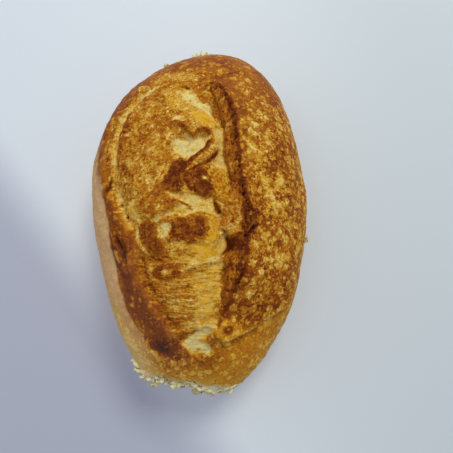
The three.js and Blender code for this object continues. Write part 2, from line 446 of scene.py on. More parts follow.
SEAMS: tuple[Seam, ...] = (
    # left groove of olive crumb under the rim
    Seam(((-24, 51.5), (-29, 44.5), (-33, 37), (-35.4, 30), (-36.2, 23), (-35.6, 15), (-34.4, 8)), 1.7,
         0.26, -1.8, 0.85, 0.35),
    Seam(((-33.6, 4), (-32.6, 0), (-30.4, -7), (-27.5, -12.6), (-25.2, -16.2)), 1.7, 0.24, -1.5, 0.9, 0.3),
    Seam(((-27.5, 49), (-24, 47.5), (-21, 50.5), (-16, 53.5)), 0.7, 0.1, 0.5, 0.9),
    Seam(((-37, 39.5), (-32, 36.5), (-29, 40.5), (-26.5, 46)), 0.6, 0.12, 0.4, 0.8),
    Seam(((-28, 51), (-27.5, 54.5), (-24.5, 54.8), (-22.6, 51.5)), 0.9, 0.6, 0.5),
    Seam(((-19.8, 55), (-15.7, 56.6), (-10.3, 55.8), (-6, 53), (-1.5, 52)), 1.2, 0.48, 0.6, 0.9, 0.5),
    Seam(((-8.5, 51.5), (-5.9, 50.6), (-2.5, 49.2)), 0.6, 0.72, -0.5),
    Seam(((22.9, 24.5), (26.5, 26.9), (31, 25.2), (32.2, 21.5), (29.8, 18.3), (25, 18.6), (22.6, 21.6),
         (22.9, 24.5)), 0.6, 0.34, 0.3, 0.7, fray=0.6),
    Seam(((-28.4, 39.7), (-30.2, 32.7), (-31.1, 26.7), (-32.2, 21), (-32.7, 16), (-31.3, 12)), 1.7, 0.7,
         0.8, 0.85, fray=0.8),
    # a ring blister at the back left
    Seam(((-27.6, 51.8), (-27, 54.2), (-24.6, 54.8), (-22.4, 52.8), (-22.6, 50.2), (-24.8, 48.8),
         (-27, 49.8), (-27.6, 51.8)), 0.55, 0.2, 0.5, 0.8, fray=0.2),
    # crumbly folds in the scorched left shoulder
    Seam(((-34.6, -17.5), (-32, -22), (-29, -28), (-27, -35)), 0.8, 0.64, 1.1, 0.8, fray=0.7),
    Seam(((-29.5, -17), (-27, -22), (-26, -28), (-25.6, -34)), 0.8, 0.66, 1, 0.8, fray=0.7),
    Seam(((-32.6, -18), (-29.8, -23.5), (-27.6, -30)), 0.7, 0.95, -1.3, 0.8, fray=0.7),
    # the rim of old crust
    Seam(((-38.5, 44), (-42.5, 35), (-44, 24), (-44, 13), (-42, 5), (-38, 1), (-35.8, -3), (-32, -10.5),
         (-26.9, -16.2)), 1.4, 0.66, 0.5, 0.85),
    Seam(((-36.6, 8.5), (-37.5, 5.5), (-38, 2)), 0.5, 0.9, -0.2, fray=0.1),
    Seam(((-24.4, -13.5), (-23.4, -17), (-22.8, -20), (-21, -23), (-19.5, -26)), 0.7, 0.16, 0.3, 0.8),
    # painted shade: the groove between the old crust and the bloom is darkened as a shaded valley
    Seam(((-21.8, -23), (-22, -29), (-20.8, -35), (-17, -41.5), (-12.8, -48), (-9.5, -53), (-6, -57.5)),
         2.4, 0.64, -1.2, 0.55, fray=0.9),
    # the hooked fold of early crust and the fibrous tongue beside it
    Seam(((-10.5, 29), (-7, 30), (-4.5, 28), (-2, 25.4), (0, 24.6), (1.6, 26.4), (4, 27.6), (6.4, 26.2),
         (7.6, 23.5)), 0.95, 0.68, 1.8, fray=0.1),
    Seam(((8.8, 21.5), (7, 17), (3.9, 13.8), (0.8, 11.4)), 1.9, 0.4, 1.3, fray=0.3),
    Seam(((7.6, 23.5), (6.2, 20.5), (4, 17.5), (1, 14.8), (-1.3, 12.5), (-2.2, 10.5)), 0.75, 0.86, 1.5,
         fray=0.15),
    # painted shade: a fine crack below the fold, darkened as the shadow in it
    Seam(((10.2, 18.5), (8.2, 15), (5.2, 12), (1, 9.5), (-1, 8)), 0.5, 0.92, -0.8, fray=0.2),
    Seam(((-6, -4.6), (-2.2, -5.8), (0.2, -9)), 0.4, 0.66, 0.4),
    Seam(((-16, -12.2), (-10, -11.4), (-5, -9.6)), 0.7, 0.42, 0.4),
    # bridges of fibre from the lifted edge and long folds before it
    Seam(((13, -16), (11, -18.8), (8.4, -22.4)), 0.8, 0.32, 0.8),
    Seam(((13, -27.5), (9, -28.5), (3, -30), (-3, -31.5)), 1.2, 0.3, 0.7),
    Seam(((-3, -32.8), (2, -31.8), (6.5, -32)), 0.8, 0.5, 0.3, 0.7),
    Seam(((-5.2, -61.2), (-2, -58.6), (2, -56)), 0.8, 0.5, -1, 0.8),
    Seam(((8.5, -43.5), (10, -48), (9.5, -53)), 1, 0.45, -0.8, 0.7),
    # the pale rim under the scorched corner
    Seam(((-20, -60.9), (-18.6, -64.5), (-14.8, -67.6), (-11.4, -68.1)), 0.7, 0.25, 0.5, 0.7),
)

PITS: tuple[Pit, ...] = (
    # holes, most of them darkened as painted shade inside them; lumps with depth below zero are pale
    # blisters
    Pit((-2.2, 42.5), 0.45, 0.8, 1), Pit((15.3, 60), 0.5, 0.7, 1), Pit((31.3, -21.3), 0.5, 0.7, 0.95),
    Pit((15.8, -12.6), 0.7, 1, 1), Pit((-15.6, -40.6), 0.6, 0.9, 0.95), Pit((-26.8, -40.6), 0.7, 0.6, 0.9),
    Pit((-31.7, -0.3), 0.8, 1, 0.7), Pit((-32.3, -4.2), 0.7, 0.8, 0.85), Pit((-28.5, -9.4), 0.7, 1, 0.95),
    Pit((-29.9, 41), 1.1, 0.6, 0.75), Pit((-20.6, 15.9), 1, 0.4, 0.72),
    Pit((-18.6, -35.9), 0.5, 0.6, 0.85), Pit((-20.5, -37), 0.5, 0.6, 0.8),
    Pit((-10.4, -37.6), 0.5, 0.5, 0.8), Pit((-17.7, 6), 1.5, 0.8, 0.3), Pit((-11, 5.2), 0.5, 0.5, 0.9),
    Pit((4.7, 4.8), 0.7, -0.5, 0, 0.9), Pit((-25, -46), 0.9, -0.4, 0.1, 0.8),
    Pit((-27.5, 22), 0.7, 0.7, 0.7), Pit((-24, 53), 1.3, 1.2, 0.42), Pit((-25.3, 51.5), 1, 1, 0.3),
    Pit((36, 8), 0.5, 0.4, 0.9), Pit((-13.5, -52), 0.5, 0.4, 0.8),
    # large flat blisters on the right flank
    Pit((37, 6.7), 2.4, -0.4, 0.24, 0.85), Pit((33.7, -4.4), 2.5, -0.4, 0.22, 0.85),
    Pit((36.4, -26.1), 2.6, -0.4, 0.26, 0.85), Pit((26.7, 15.9), 2.4, -0.3, 0.28, 0.8),
    Pit((31.9, 0.8), 2, -0.4, 0.24, 0.85), Pit((25.8, 30.8), 1.4, -0.3, 0.22, 0.8),
    Pit((28.6, 5.9), 1.5, -0.3, 0.28, 0.8), Pit((22, -41.3), 1.7, -0.3, 0.26, 0.8),
    Pit((38.7, -3.4), 1.2, -0.3, 0.22, 0.8), Pit((26.7, -32.3), 1.6, -0.3, 0.3, 0.8),
)


class Skin:
    """The skin's points with what each of them carries, worked on mark by mark.

    Marks stay above mark_floor, and drift is a ragged sideways wander that frays their edges.
    """

    mark_floor: float = 8.0
    wander: float = 3.0
    seed_step: Spot = (17.3, 5.1, 9.7)

    def __init__(self, points: np.ndarray, normals: np.ndarray) -> None:
        """Starts a plain skin.

        Args:
            points: the body's points in millimetres.
            normals: the body's outward directions.
        """
        self.points = points
        self.normals = normals
        self.plan = points[:, :2]
        self.lift = np.zeros(len(points))
        self.shift = np.zeros((len(points), 2))
        self.tones = {tone: np.zeros(len(points)) for tone in Tone}
        self.drift = np.stack((self.lumps(self.wander, 1, 2), self.lumps(self.wander, 2, 2)), axis=1)

    def lumps(self, size: float | Spot, seed: int, octaves: int = 3) -> np.ndarray:
        """Makes smooth noise about zero.

        Args:
            size: how long its lumps are, all round or along each axis.
            seed: shifts the pattern, so that two uses differ.
            octaves: how many finer layers it holds.

        Returns:
            The noise at every point, mostly between -1 and 1.
        """
        scaled = self.points / np.array(size) + seed * np.array(self.seed_step)
        return np.array([noise.fractal(Vector(spot), 1.0, 2.0, octaves) for spot in scaled.tolist()])

    def blend(self, mask: np.ndarray, tones: dict[Tone, float | np.ndarray],
              chosen: np.ndarray | slice = slice(None)) -> None:
        """Draws each tone of the chosen points towards its value where the mask is strong."""
        for tone, value in tones.items():
            self.tones[tone][chosen] += (value - self.tones[tone][chosen]) * mask

    def near(self, points: Points, margin: float) -> np.ndarray:
        """Finds the skin's points around a mark.

        Args:
            points: the mark's own points.
            margin: how far around them to look.

        Returns:
            The numbers of the skin's points there, apart from the low ones that the mark can't reach.
        """
        low = np.min(points, axis=0) - margin
        high = np.max(points, axis=0) + margin
        upper = self.points[:, 2] > self.mark_floor
        return np.flatnonzero(np.all((self.plan > low) & (self.plan < high), axis=1) & upper)

    def dab(self, patch: Patch) -> None:
        """Lays one island on the skin.

        Args:
            patch: the island.
        """
        chosen = self.near(patch.outline, 3.0 + 2 * patch.soft)
        places = self.plan[chosen] + patch.fray * self.drift[chosen]
        depth = Route(patch.outline, closed=True, steps=4).depth_inside(places)
        mask = ease(-0.4 * patch.soft, 0.6 * patch.soft, depth) * patch.strength
        self.blend(mask, {Tone.BAKE: patch.bake, Tone.GILD: patch.gild}, chosen)
        self.lift[chosen] += patch.lift * mask

    def draw(self, seam: Seam) -> None:
        """Draws one ridge, groove or stripe on the skin.

        Args:
            seam: the ridge, groove or stripe.
        """
        chosen = self.near(seam.route, 3.0 + 3 * seam.reach)
        places = self.plan[chosen] + seam.fray * self.drift[chosen]
        distance, share, _ = Route(seam.route, steps=5).measure(places)
        taper = 0.25 + 0.75 * (ease(0.0, 0.12, share) * ease(1.0, 0.88, share))
        stain = bell(distance, 1.3 * seam.reach, 4) * taper * seam.strength
        self.blend(stain, {Tone.BAKE: seam.bake, Tone.GILD: seam.gild}, chosen)
        self.lift[chosen] += seam.lift * (bell(distance, seam.reach) * taper)

    def prick(self, pit: Pit) -> None:
        """Sinks one small hole, or raises one small lump.

        Args:
            pit: the hole or lump.
        """
        chosen = self.near((pit.spot,), 3 * pit.radius + 1.0)
        offset = self.plan[chosen] - np.array(pit.spot)
        mask = bell(np.hypot(offset[:, 0], offset[:, 1]), pit.radius)
        # a hole's darker bake is painted shade inside it
        self.blend(mask * pit.strength, {Tone.BAKE: pit.bake}, chosen)
        self.lift[chosen] -= pit.depth * mask

    def moved(self) -> np.ndarray:
        """Applies every lift and shift.

        Returns:
            The moved points.
        """
        points = self.points + self.normals * self.lift[:, None]
        points[:, :2] += self.shift
        return points


@dataclass(frozen=True)
class Slash:
    """The opened slash: the lifted edge of crust, the trough beside it and the bloom that rose."""

    crest_lift: float = 4.2
    trough_depth: float = 2.0
    flap_step: float = 1.6
    flank_reach: float = 15.0
    trough_reach: float = 3.6
    bloom_rise: float = 2.0
    rim_lift: float = 1.0
    rim_groove: float = 0.6
    overhang: float = 1.3
    crest_wander: float = 0.12
    edge_wander: float = 0.8
    bloom_wander: float = 0.6
    rim_wander: float = 0.5
    mottled_bake: float = 0.45
    stretched_bake: float = 0.57
    inner_face_bake: float = 0.65
    web_bake: float = 0.45
    crest_bake: float = 0.9
    crumb_raggedness: float = 0.42
    fibre_ridges: float = 0.4
    face_ridges: float = 0.5
    edge_tatters: float = 0.9

    def open(self, skin: Skin) -> None:
        """Shapes and colours the slash.

        Args:
            skin: the skin to work on.
        """
        torn = skin.plan + self.edge_wander * skin.drift
        crest, share, side = Route(EAR_CREST).measure(skin.plan + self.crest_wander * skin.drift)
        edge = Route(EAR_EDGE).measure(torn)[0]
        inside = Route(EAR_CREST + tuple(reversed(EAR_EDGE)), closed=True, steps=4).depth_inside(torn)
        band = ease(-0.5, 0.6, inside)
        ends = ease(0.0, 0.14, share) * ease(1.0, 0.8, share)
        upper = ease(14.0, 30.0, skin.points[:, 2])
        left = side > 0
        across = edge / np.maximum(edge + crest, TINY)
        rise = self.crest_lift * ends * upper
        sink = self.trough_depth * ends * upper
        flank = rise * bell(crest, self.flank_reach, 1)
        foot = self.flap_step * ends - 0.5 * sink
        slope = foot + (rise - foot) * across**0.8
        trough = -sink * bell(edge, self.trough_reach, 1.5)
        skin.lift += np.where(left, trough, flank) * (1 - band) + slope * band
        lean = 0.4 * ease(0.35, 1.0, across) + ease(2.2, 0.2, edge)
        skin.shift[:, 0] -= self.overhang * lean * band * ends
        self._bloom(skin, left, band, upper)
        self._inner_face(skin, edge, across, band)
        self._crest(skin, crest, ends, left)
        skin.lift += band * self.face_ridges * skin.lumps((1.6, 4.0, 2.0), 8)
        tatter = ease(1.8, 0.2, edge) * band
        skin.lift += tatter * self.edge_tatters * skin.lumps(1.6, 9, 2)

    def _bloom(self, skin: Skin, left: np.ndarray, band: np.ndarray, upper: np.ndarray) -> None:
        """Raises the bloom and the rim of old crust that it pushed aside.

        Args:
            skin: the skin to work on.
            left: which points are left of the crest.
            band: how far points are in the lifted edge's inner face.
            upper: how far points are up the side.
        """
        wandering = skin.plan + self.bloom_wander * skin.drift
        inside = Route(BLOOM_OUTLINE, closed=True, steps=4).depth_inside(wandering)
        bloom = ease(-0.6, 1.0, inside) * (1 - band)
        dome = ease(2.0, 14.0, inside) * ease(-34.0, -8.0, skin.plan[:, 1])
        rim, share, _ = Route(BLOOM_RIM).measure(skin.plan + self.rim_wander * skin.drift)
        ends = ease(0.0, 0.1, share) * ease(1.0, 0.93, share)
        outer = ease(0.6, -0.6, inside) * left * ends
        skin.lift += self.bloom_rise * dome * (1 - band)
        skin.lift += self.rim_lift * outer * bell(rim, 4.0, 1) * upper
        skin.lift -= self.rim_groove * bloom * bell(rim, 1.8, 1) * ends
        self._dough(skin, bloom)

    def _dough(self, skin: Skin, bloom: np.ndarray) -> None:
        """Gives the bloom its mottled back half and its stretched front half.

        Args:
            skin: the skin to work on.
            bloom: how far points are in the bloom.
        """
        x, y = skin.plan.T
        fibres = bloom * ease(-20.0, -28.0, y)
        pale_strip = bloom * ease(-14.0, -8.0, y) * ease(2.0, -4.0, y)
        mottled = self.mottled_bake + 0.17 * skin.lumps(4.0, 3)
        mottled = mottled + 0.06 * ease(-8.0, -30.0, x) + 0.05 * ease(40.0, 52.0, y)
        stretched = self.stretched_bake - 0.26 * ease(-14.0, 8.0, x) + 0.26 * skin.lumps((7.0, 3.0, 4.0), 4)
        bake = mottled + (stretched - mottled) * ease(-20.0, -30.0, y)
        skin.blend(bloom, {Tone.BAKE: bake, Tone.CRUMB: 0.8, Tone.DUST: 0.0})
        skin.blend(bloom, {Tone.FLECK: 0.25, Tone.GILD: 0.2})
        skin.blend(fibres, {Tone.FLECK: 0.05, Tone.STRAND: 0.8})
        skin.blend(pale_strip, {Tone.STRAND: 0.5})
        skin.lift += self.crumb_raggedness * skin.lumps(2.2, 5) * bloom * (1 - 0.4 * fibres)
        skin.lift += self.fibre_ridges * skin.lumps((7.0, 1.8, 3.0), 6) * fibres

    def _inner_face(self, skin: Skin, edge: np.ndarray, across: np.ndarray, band: np.ndarray) -> None:
        """Browns the torn inner face of the lifted edge, with a paler web of dough at its middle.

        Args:
            skin: the skin to work on.
            edge: how far points are from the torn edge.
            across: how far points are on the way from the torn edge to the crest, from 0 to 1.
            band: how far points are in the inner face.
        """
        y = skin.plan[:, 1]
        lumps = skin.lumps((2.0, 4.5, 3.0), 7)
        web = ease(1.0, -4.0, y) * ease(-20.5, -16.0, y) * ease(0.9, 0.5, across)
        bake = self.inner_face_bake + 0.14 * ease(0.4, 1.0, across) + 0.18 * lumps
        bake = bake - 0.05 * ease(0.0, 15.0, y) - 0.05 * ease(38.0, 50.0, y) + 0.08 * ease(-20.0, -28.0, y)
        bake = bake + (self.web_bake + 0.2 * lumps - bake) * web - 0.12 * ease(1.0, 0.2, edge)
        skin.blend(band, {Tone.BAKE: bake, **BARED})
        skin.blend(band * (1 - 0.7 * web), {Tone.SHRED: 1.0})

    def _crest(self, skin: Skin, crest: np.ndarray, ends: np.ndarray, left: np.ndarray) -> None:
        """Chars the crest of the lifted edge, most of all just in front of its middle.

        Args:
            skin: the skin to work on.
            crest: how far points are from the crest.
            ends: how far points are from the crest's ends, from 0 to 1.
            left: which points are left of the crest.
        """
        y = skin.plan[:, 1]
        burnt = ease(-3.0, -9.0, y) * ease(-30.0, -22.0, y)
        reach = np.where(left, 1.7, 0.9) + 0.8 * burnt
        ragged = 0.55 + 0.45 * ease(-0.35, 0.25, skin.lumps(3.0, 10, 2))
        dark = bell(crest, reach) * np.where(y > 0, ends, ends**0.4) * ragged
        skin.blend(dark, {Tone.BAKE: self.crest_bake + 0.06 * burnt})


@dataclass(frozen=True)
class Crust:
    """The closed crust all round: its baking, its blisters, its torn ends and its underside."""

    crown_bake: float = 0.59
    wall_bake: float = 0.42
    right_wall_bake_and_shade: float = 0.5
    front_bake: float = 0.2
    corner_bake: float = 0.22
    floury_bake: float = 0.34
    underside_bake: float = 0.52
    unevenness: float = 0.08
    flour: float = 0.88
    swell: float = 0.9
    waves: float = 0.3
    step_drop: float = 1.0
    step_rise: float = 0.8
    tear_middle: Spot = (-3.0, -84.0, 18.0)
    tear_depth: float = 30.0
    tear_half_width: float = 25.0
    tear_half_height: float = 16.5
    left_lobe: float = -21.0
    right_lobe: float = 8.0
    lobe_height: float = 27.5
    dust_line: Points = (
        (-66.0, -17.0), (-57.0, -22.5), (-48.0, -28.0), (-37.0, -31.8), (-30.0, -33.4), (-19.7, -36.3),
        (-9.2, -38.1), (4.4, -40.6), (16.2, -42.3), (31.0, -45.0), (50.0, -46.0),
    )
    step_line: Points = (
        (8.0, -61.5), (11.5, -60.2), (15.6, -59.6), (19.9, -57.6), (25.0, -55.7), (31.1, -51.9),
        (35.1, -49.6), (38.6, -48.0), (41.9, -44.5), (46.0, -40.0),
    )

    def bake(self, skin: Skin) -> None:
        """Colours the closed crust before anything opens it.

        Args:
            skin: the skin to work on.
        """
        x, y, z = skin.points.T
        turn = np.arctan2(y, x)
        rightward = ease(0.1, 0.9, np.cos(turn))
        frontward = ease(0.6, 0.95, -np.sin(turn))
        backward = ease(45.0, 62.0, y)
        shoulder = ease(4.0, -8.0, x) * ease(-15.0, -32.0, y)
        low = ease(38.0, 20.0, z)
        broad, middle = skin.lumps(22.0, 11, 2), skin.lumps(6.0, 12)
        bake = self.crown_bake + self.unevenness * broad + self.unevenness * middle
        # painted shade: the 0.09 term darkens the right flank from the middle back, against the lamp's
        # light there
        bake = bake + 0.02 * ease(46.0, 60.0, y) + 0.09 * ease(24.0, 40.0, x) * ease(-15.0, 5.0, y)
        bake = bake + 0.05 * ease(-25.0, -50.0, y) * ease(5.0, -15.0, x)
        bake = bake + 0.08 * ease(-22.0, -34.0, y) * ease(-56.0, -48.0, y) * ease(5.0, 15.0, x)
        fleck = 0.3 + 0.7 * ease(12.0, 26.0, x) * ease(66.0, 35.0, y) + 0.2 * ease(-30.0, -60.0, y)
        fleck = fleck - 0.25 * shoulder * ease(-62.0, -55.0, y)
        skin.blend(np.ones(len(x)), {Tone.BAKE: bake, Tone.FLECK: fleck})
        skin.blend(np.maximum(rightward, backward), {Tone.GILD: 0.35})
        wall = self.wall_bake + self.unevenness * broad + self.unevenness * middle
        skin.blend(low * (0.8 - 0.3 * rightward), {Tone.BAKE: wall})
        dusty = self._dusty(skin, broad, middle)
        skin.blend(dusty, {Tone.DUST: self.flour - 0.45 * ease(-35.0, -60.0, y)})
        skin.blend(dusty * 0.6, {Tone.BAKE: self.floury_bake + 0.1 * ease(-45.0, -65.0, y)})
        skin.blend(low * (1 - dusty) * (1 - frontward), {Tone.DUST: 0.35})
        skin.blend(shoulder * (1 - dusty) * (1 - low), {Tone.DUST: 0.05})
        # the right side wall is darker than the others: its own baking, partly painted shade
        skin.blend(rightward * ease(44.0, 30.0, z) * 0.8, {Tone.BAKE: self.right_wall_bake_and_shade})
        skin.blend(frontward * ease(44.0, 32.0, z) * 0.9, {Tone.BAKE: self.front_bake})
        skin.blend(frontward * ease(50.0, 36.0, z), {Tone.GILD: 0.35})
        corner = frontward * ease(-10.0, -22.0, x) * ease(44.0, 34.0, z)
        skin.blend(0.8 * corner, {Tone.BAKE: self.corner_bake})
        skin.blend(corner, {Tone.DUST: 0.4})
        skin.blend(low * (1 - frontward), {Tone.FLECK: 0.3})
        underside = self.underside_bake + 0.1 * middle
        skin.blend(ease(4.0, 0.5, z), {Tone.BAKE: underside, Tone.DUST: 0.5})

    def _dusty(self, skin: Skin, broad: np.ndarray, middle: np.ndarray) -> np.ndarray:
        """Finds the floury skin left of the dust line, with an edge that blurs towards the back.

        Args:
            skin: the skin to look at.
            broad: broad lumps of noise over it.
            middle: smaller lumps of noise over it.

        Returns:
            How floury each point is, from 0 to 1.
        """
        x, y, _ = skin.points.T
        blur = 0.9 + 6.0 * ease(2.0, 30.0, y)
        line = np.interp(y, *np.array(self.dust_line).T) + 1.3 * blur * middle - blur + 0.9
        dusty = ease(1.0, -1.0, (x - line) / blur)
        return dusty * ease(50.0, 15.0, y + 9.0 * broad) * ease(-80.0, -62.0, y)

    def wrinkle(self, skin: Skin) -> None:
        """Gives the crust its uneven swell, its blisters and the step at the front right, with painted
        shade just below the step.

        Args:
            skin: the skin to work on.
        """
        free = ease(0.0, 6.0, skin.points[:, 2])
        closed = 1 - skin.tones[Tone.CRUMB]
        blistering = 0.08 + 0.2 * skin.tones[Tone.FLECK]
        skin.lift += free * self.swell * skin.lumps((30.0, 30.0, 24.0), 21, 2)
        skin.lift += free * self.waves * skin.lumps(8.0, 22)
        skin.lift += free * closed * blistering * skin.lumps(2.6, 23, 2)
        distance, share, side = Route(self.step_line).measure(skin.plan + 0.5 * skin.drift)
        below = side > 0
        near = ease(14.0, 24.0, skin.points[:, 2]) * (ease(0.0, 0.06, share) * ease(1.0, 0.7, share))
        drop = -self.step_drop * bell(distance, 6.0, 1)
        skin.lift += np.where(below, drop, self.step_rise * bell(distance, 5.0, 1)) * near
        lip = bell(distance, 1.0) * ~below * near
        skin.blend(0.7 * lip, {Tone.BAKE: 0.3})
        # painted shade: the skin just below the step is darkened
        painted_shade = np.where(below, bell(distance, 1.8, 1), 0.0) * near
        skin.blend(0.6 * painted_shade, {Tone.BAKE: 0.66})
        smooth = below * ease(40.0, 6.0, distance) * ease(-40.0, -50.0, skin.plan[:, 1])
        smooth = smooth * ease(5.0, 15.0, skin.plan[:, 0])
        skin.blend(smooth, {Tone.FLECK: 0.35})
        skin.blend(0.8 * smooth, {Tone.BAKE: 0.48, Tone.GILD: 0.5})

    def tear(self, skin: Skin) -> None:
        """Bares the crumb at the front, where the roll was torn from its neighbour, and raises tufts.

        Args:
            skin: the skin to work on.
        """
        x, y, z = skin.points.T
        middle_x, middle_y, middle_z = self.tear_middle
        front = y < middle_y + self.tear_depth
        reach = np.hypot((x - middle_x) / self.tear_half_width, (z - middle_z) / self.tear_half_height)
        mask = ease(1.12, 0.95, reach + 0.14 * skin.lumps(5.0, 31)) * front
        pores = skin.lumps(2.4, 32)
        bake = 0.01 + 0.09 * ease(0.0, -0.4, pores)
        skin.blend(mask, {Tone.BAKE: bake, **BARED})
        skin.lift += mask * (-1.2 + 0.9 * pores + 0.6 * skin.lumps(6.0, 33, 2))
        lobes = 0.3 + bell(x - self.left_lobe, 5.0) + bell(x - self.right_lobe, 8.5)
        sides = ease(25.0, 21.0, np.abs(x - middle_x))
        tuft = bell(z - self.lobe_height, 4.0) * front * sides * lobes
        tufty = skin.lumps(2.4, 34)
        skin.lift += tuft * (1.6 + 3.0 * tufty)
        skin.blend(ease(0.12, 0.45, tuft + 0.3 * tufty), {Tone.BAKE: 0.01})


# ---- torn crumb flakes


@dataclass(frozen=True)
class Fringe:
    """A row of small torn flakes of crumb that stand out of the skin."""

    route: tuple[Spot, ...]
    count: int
    length: float
    thickness: float
    spread: float
    seed: int
    bake: float = 0.03
    widths: tuple[float, float] = (0.6, 1.5)
    flatness: tuple[float, float] = (0.2, 0.4)
    lengths: tuple[float, float] = (0.35, 1.0)
    aim_spread: float = 0.35
    spin_spread: float = 0.45
    raggedness: float = 0.11
    side_lean: float = 0.6

    def grow(self, form: bmesh.types.BMesh) -> int:
        """Adds the flakes to a mesh.

        Args:
            form: the mesh that takes them, in millimetres.

        Returns:
            How many points it added.
        """
        draw = np.random.default_rng(self.seed)
        posts = np.array(self.route)
        before = len(form.verts)
        for _ in range(self.count):
            along = draw.uniform(0, len(posts) - 1)
            first = int(along)
            root = posts[first] + (posts[min(first + 1, len(posts) - 1)] - posts[first]) * (along - first)
            root = root + draw.normal(0, self.spread, 3)
            outward = Vector((root[0] * self.side_lean, root[1], 0.0)).normalized()
            outward += Vector(draw.normal(0, self.aim_spread, 3))
            tilt = outward.to_track_quat("Z", "Y").to_matrix().to_4x4()
            spin = Matrix.Rotation(draw.normal(0, self.spin_spread), 4, "Z")
            wide = self.thickness * draw.uniform(*self.widths)
            thin = wide * draw.uniform(*self.flatness)
            tall = self.length * draw.uniform(*self.lengths)
            shape = Matrix.Diagonal((wide, thin, tall / 2, 1.0))
            place = Matrix.Translation(Vector(root)) @ tilt @ spin @ shape
            flake = bmesh.ops.create_icosphere(form, subdivisions=1, radius=1.0, matrix=place)
            for vert in flake["verts"]:
                vert.co += Vector(draw.normal(0, self.raggedness * self.length, 3))
        return len(form.verts) - before


# ---- shader tools


class Bench:
    """Makes the nodes of one material."""

    def __init__(self, name: str) -> None:
        """Starts an empty material.

        Args:
            name: what the material is called.
        """
        self.material = bpy.data.materials.new(name)
        self.material.use_nodes = True
        self.tree = self.material.node_tree
        self.tree.nodes.clear()

    def node(self, kind: str, settings: dict | None = None, inputs: dict | None = None) -> bpy.types.Node:
        """Makes one node.

        Args:
            kind: the node's type.
            settings: its own settings, such as an operation or a ramp's stops, which are set first.
            inputs: values or wires for its sockets, by name or number.

        Returns:
            The node.
        """
        made = self.tree.nodes.new(kind)
        for key, value in (settings or {}).items():
            if key == "stops":
                self._set_stops(made.color_ramp, value)
            else:
                setattr(made, key, value)
        for key, value in (inputs or {}).items():
            if isinstance(value, Wire):
                self.tree.links.new(value.socket, made.inputs[key])
            else:
                made.inputs[key].default_value = value
        return made

    @staticmethod
    def _set_stops(ramp: bpy.types.ColorRamp, stops: tuple[tuple[float, Colour], ...]) -> None:
        """Sets a ramp's places and colours.

        Args:
            ramp: the ramp.
            stops: each place with its colour, in rising order.
        """
        while len(ramp.elements) < len(stops):
            ramp.elements.new(1.0)
        for element, (place, colour) in zip(ramp.elements, stops):
            element.position = place
            element.color = (*colour, 1.0)

    def wire(self, node: bpy.types.Node, output: str | int = 0) -> "Wire":
        """Takes a node's output for use in expressions."""
        return Wire(self, node.outputs[output])

    def tone(self, tone: Tone) -> "Wire":
        """Reads one of the skin's tones."""
        return self.wire(self.node("ShaderNodeAttribute", {"attribute_name": tone.value}), "Fac")

    def place(self) -> "Wire":
        """Reads the place on the object."""
        return self.wire(self.node("ShaderNodeTexCoord"), "Object")

    def _texture(self, kind: str, where: "Wire", size: float, settings: dict | None = None,
                 inputs: dict | None = None) -> bpy.types.Node:
        """Adds one texture node whose lumps or cells are about size millimetres wide."""
        spacing = {"Vector": where, "Scale": 1.0 / (size * METRES)}
        return self.node(kind, settings, spacing | (inputs or {}))

    def spots(self, size: float, detail: float = 3.0, rough: float = 0.55, twist: float = 0.0,
              where: "Wire | None" = None) -> "Wire":
        """Makes noise from 0 to 1.

        Args:
            size: about how wide its lumps are, in millimetres.
            detail: how many finer layers it holds.
            rough: how strong the finer layers are.
            twist: how much it is warped.
            where: the place it reads, if not the place on the object.

        Returns:
            The noise.
        """
        where = self.place() if where is None else where
        inputs = {"Detail": detail, "Roughness": rough, "Distortion": twist}
        return self.wire(self._texture("ShaderNodeTexNoise", where, size, inputs=inputs), "Fac")

    def stretched(self, where: "Wire", turn: float, scale: Spot) -> "Wire":
        """Turns and stretches a place, so that a pattern runs one way.

        Args:
            where: the place.
            turn: how far it turns about Z, in degrees.
            scale: how much each axis is crowded.

        Returns:
            The changed place.
        """
        inputs = {"Vector": where, "Rotation": (0.0, 0.0, math.radians(turn)), "Scale": scale}
        return self.wire(self.node("ShaderNodeMapping", {"vector_type": "POINT"}, inputs))

    def band(self, value: "Wire", low: float, high: float) -> "Wire":
        """Rises smoothly from 0 to 1 as a value goes from low to high."""
        inputs = {"Value": value, "From Min": low, "From Max": high}
        return self.wire(self.node("ShaderNodeMapRange", {"interpolation_type": "SMOOTHSTEP"}, inputs))

    def _vector(self, operation: str, inputs: dict) -> "Wire":
        """Adds one Vector Math node."""
        return self.wire(self.node("ShaderNodeVectorMath", {"operation": operation}, inputs))

    def bent(self, where: "Wire", size: float, amount: float) -> "Wire":
        """Pushes a place about, so that straight patterns curl.

        Args:
            where: the place.
            size: about how far apart the pushes are, in millimetres.
            amount: how far it is pushed at most, in millimetres.

        Returns:
            The pushed place.
        """
        push = self._texture("ShaderNodeTexNoise", where, size, inputs={"Detail": 2.0})
        centred = self._vector("SUBTRACT", {0: self.wire(push, "Color"), 1: (0.5, 0.5, 0.5)})
        sized = self._vector("SCALE", {0: centred, "Scale": 2.0 * amount * METRES})
        return self._vector("ADD", {0: where, 1: sized})

    def blisters(self, where: "Wire", size: float, amount: "Wire") -> "Wire":
        """Marks separate round blisters.

        Args:
            where: the place.
            size: about how far apart they stand, in millimetres.
            amount: how many there are, from 0 to 1.

        Returns:
            1 on a blister and 0 off it.
        """
        cells = self._texture("ShaderNodeTexVoronoi", where, size, {"feature": "F1"})
        parts = self.node("ShaderNodeSeparateColor", {}, {"Color": self.wire(cells, "Color")})
        chance, reach = self.wire(parts, 0), self.wire(parts, 1)
        chosen = self.band(chance + amount * 0.85, 0.97, 1.03)
        return chosen * self.band(reach * 0.26 + 0.34 - self.wire(cells, "Distance"), 0.0, 0.1)

